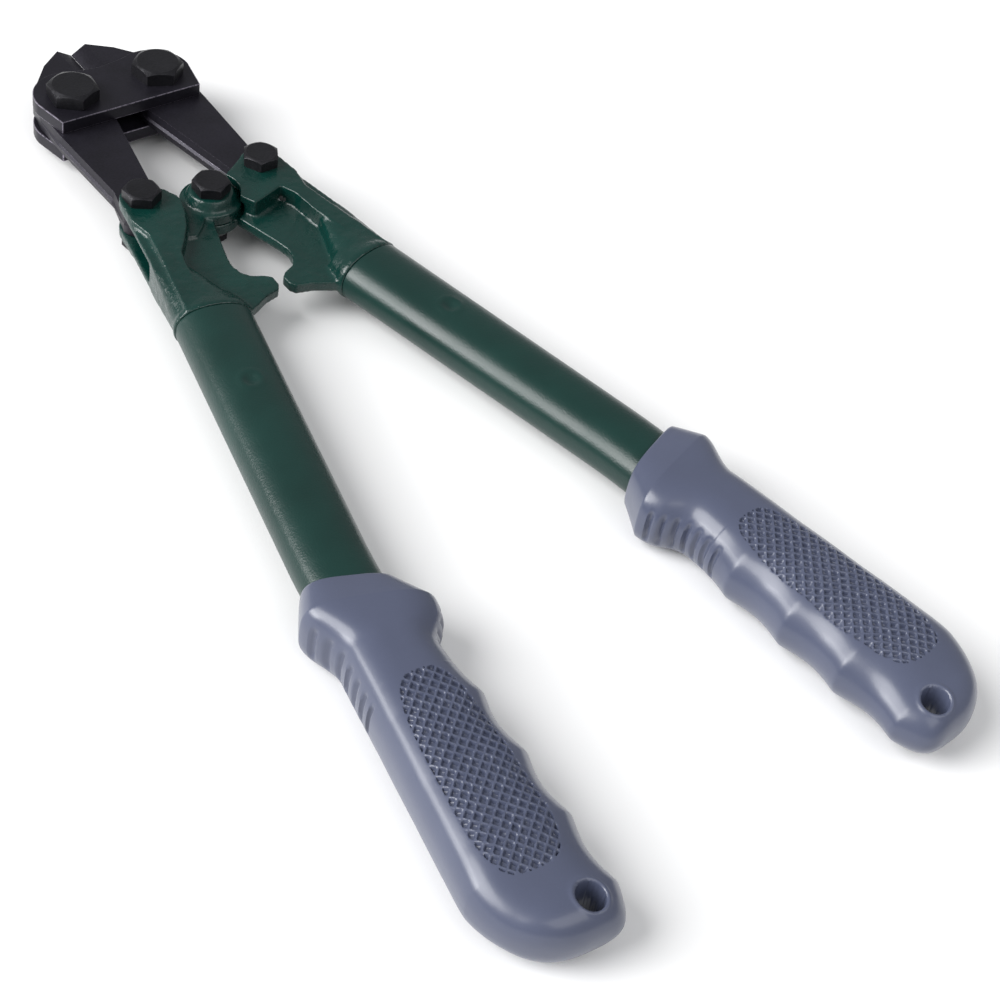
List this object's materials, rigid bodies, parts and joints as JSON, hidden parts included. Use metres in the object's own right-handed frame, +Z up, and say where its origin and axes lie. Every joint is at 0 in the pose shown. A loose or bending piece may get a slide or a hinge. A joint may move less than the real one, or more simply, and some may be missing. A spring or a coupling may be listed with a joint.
{
  "type": "bolt cutters",
  "caption": "Compact bolt cutters: centre-cut jaws between side plates, toggle-linked forged handle heads, oval tube handles and contoured grips with hanging holes.",
  "frame": {"origin": "centre of the tool's footprint, on the surface it lies on", "axes": "+Y along the tool towards the jaws, +X across it towards the right jaw, +Z up, square to the side plates and along every bolt"},
  "size_m": [0.153, 0.3462, 0.0228],
  "materials": {
    "jaw_steel": "black oxide on forged and ground tool steel, satin, worn bright on the edges",
    "plate_steel": "black oxide on blanked steel plate, satin",
    "bolt_steel": "black oxide on forged bolts and nuts, satin",
    "casting_paint": "glossy dark green enamel over a forged surface",
    "tube_paint": "glossy dark green enamel with a fine orange peel",
    "grip_vinyl": "semi-gloss grey blue moulded vinyl with a knurled pad"
  },
  "bodies": {
    "head": {"top_plate": "plate_steel", "bottom_plate": "plate_steel", "jaw_bolt_left": "bolt_steel", "jaw_bolt_right": "bolt_steel", "jaw_nut_left": "bolt_steel", "jaw_nut_right": "bolt_steel"},
    "left_jaw": {"jaw_left": "jaw_steel"},
    "right_jaw": {"jaw_right": "jaw_steel"},
    "left_handle": {"handle_head_left": "casting_paint", "handle_tube_left": "tube_paint", "grip_left": "grip_vinyl", "tail_bolt_left": "bolt_steel", "tail_nut_left": "bolt_steel", "centre_bolt": "bolt_steel", "centre_nut": "bolt_steel"},
    "right_handle": {"handle_head_right": "casting_paint", "handle_tube_right": "tube_paint", "grip_right": "grip_vinyl", "tail_bolt_right": "bolt_steel", "tail_nut_right": "bolt_steel"}
  },
  "joints": [
    {"name": "left_jaw_pivot", "type": "hinge", "parent": "head", "child": "left_jaw", "pos_m": [-0.0146, 0.14444, 0.01105], "axis": [0, 0, 1], "range_deg": [0, 6.68]},
    {"name": "left_tail_pivot", "type": "hinge", "parent": "left_jaw", "child": "left_handle", "pos_m": [-0.0202, 0.09254, 0.01105], "axis": [0, 0, 1], "range_deg": [-41.69, 0]},
    {"name": "handle_pivot", "type": "hinge", "parent": "left_handle", "child": "right_handle", "pos_m": [0, 0.08734, 0.01105], "axis": [0, 0, 1], "range_deg": [0, 70]},
    {"name": "right_jaw_pivot", "type": "hinge", "parent": "head", "child": "right_jaw", "pos_m": [0.0146, 0.14444, 0.01105], "axis": [0, 0, 1], "range_deg": [-6.68, 0]}
  ],
  "couplings": [
    {"joint": "left_jaw_pivot", "follows": "handle_pivot", "ratio": 0.0955},
    {"joint": "left_tail_pivot", "follows": "handle_pivot", "ratio": -0.5955},
    {"joint": "right_jaw_pivot", "follows": "handle_pivot", "ratio": -0.0955}
  ]
}
